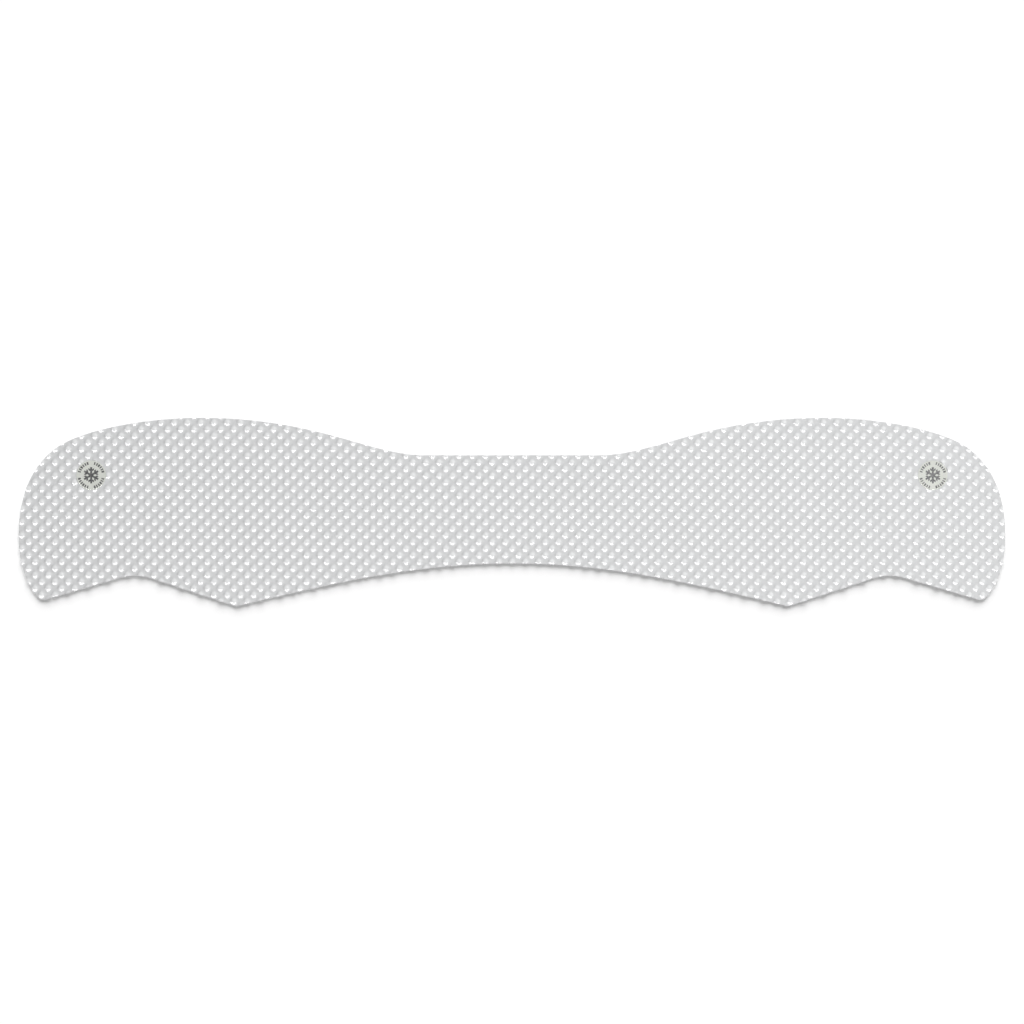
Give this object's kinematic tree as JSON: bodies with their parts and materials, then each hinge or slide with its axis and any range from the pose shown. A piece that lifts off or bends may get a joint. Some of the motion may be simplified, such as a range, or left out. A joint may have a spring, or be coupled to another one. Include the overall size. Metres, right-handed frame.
{
  "type": "snowboard stomp pad",
  "caption": "Long clear stick-on traction pad with a studded top, two round domed badges and a split release liner.",
  "frame": {"origin": "middle of the underside of the release liner, at the centre of the pad's box", "axes": "+X along the pad's length, +Y from the two tips to the two crests, +Z out of the studs, away from the board"},
  "size_m": [0.4, 0.0764, 0.0023],
  "materials": {
    "release_paper": "silicone-coated paper, satin",
    "adhesive": "clear pressure-sensitive film",
    "clear_plastic": "translucent moulded plastic, glossy",
    "badge_glue": "clear pressure-sensitive film",
    "printed_film": "printed film, silver grey with dark marks",
    "clear_resin": "clear doming resin, glossy"
  },
  "bodies": {
    "pad": {"adhesive_film": "adhesive", "grip_sheet": "clear_plastic", "badge_glue_left": "badge_glue", "badge_glue_right": "badge_glue", "badge_film_left": "printed_film", "badge_film_right": "printed_film", "badge_lens_left": "clear_resin", "badge_lens_right": "clear_resin"},
    "left_liner": {"liner_left": "release_paper"},
    "right_liner": {"liner_right": "release_paper"}
  },
  "joints": [
    {"name": "left_liner_peel", "type": "slide", "parent": "pad", "child": "left_liner", "axis": [-1, 0, 0], "range_m": [0, 0.205]},
    {"name": "right_liner_peel", "type": "slide", "parent": "pad", "child": "right_liner", "axis": [1, 0, 0], "range_m": [0, 0.205]}
  ]
}
